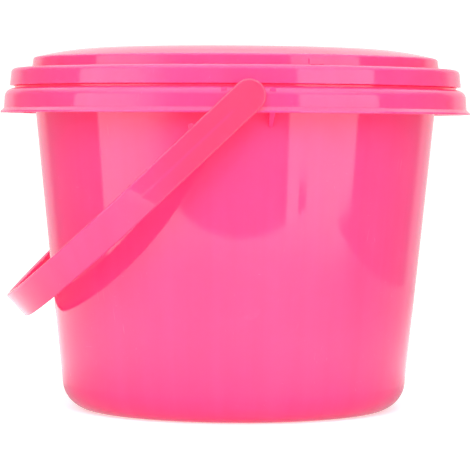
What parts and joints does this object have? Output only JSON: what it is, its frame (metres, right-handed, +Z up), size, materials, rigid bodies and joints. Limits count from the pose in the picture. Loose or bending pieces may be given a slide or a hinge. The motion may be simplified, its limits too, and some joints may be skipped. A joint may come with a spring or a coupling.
{
  "type": "sand bucket",
  "caption": "Round tapered plastic bucket with a stepped press-on lid, a hanging rim skirt and a swinging strap handle.",
  "frame": {"origin": "centre of the ring that the bucket stands on, at its lowest level", "axes": "+Z up along the tub's axis; the handle's pivot axis runs along Y; the handle hangs towards -X at rest"},
  "size_m": [0.25, 0.2608, 0.1917],
  "materials": {
    "tub_plastic": "glossy, slightly translucent injection-moulded polypropylene",
    "lid_plastic": "glossy, slightly translucent injection-moulded polypropylene",
    "handle_plastic": "satin to glossy injection-moulded polypropylene"
  },
  "bodies": {
    "tub_body": {"tub": "tub_plastic"},
    "lid_body": {"lid": "lid_plastic"},
    "handle_body": {"bail_handle": "handle_plastic"}
  },
  "joints": [
    {"name": "handle_swing", "type": "hinge", "parent": "tub_body", "child": "handle_body", "pos_m": [0, 0, 0.1654], "axis": [0, 1, 0], "range_deg": [-5.5, 272.9]},
    {"name": "lid_lift", "type": "slide", "parent": "tub_body", "child": "lid_body", "axis": [0, 0, 1], "range_m": [0, 0.06]}
  ]
}
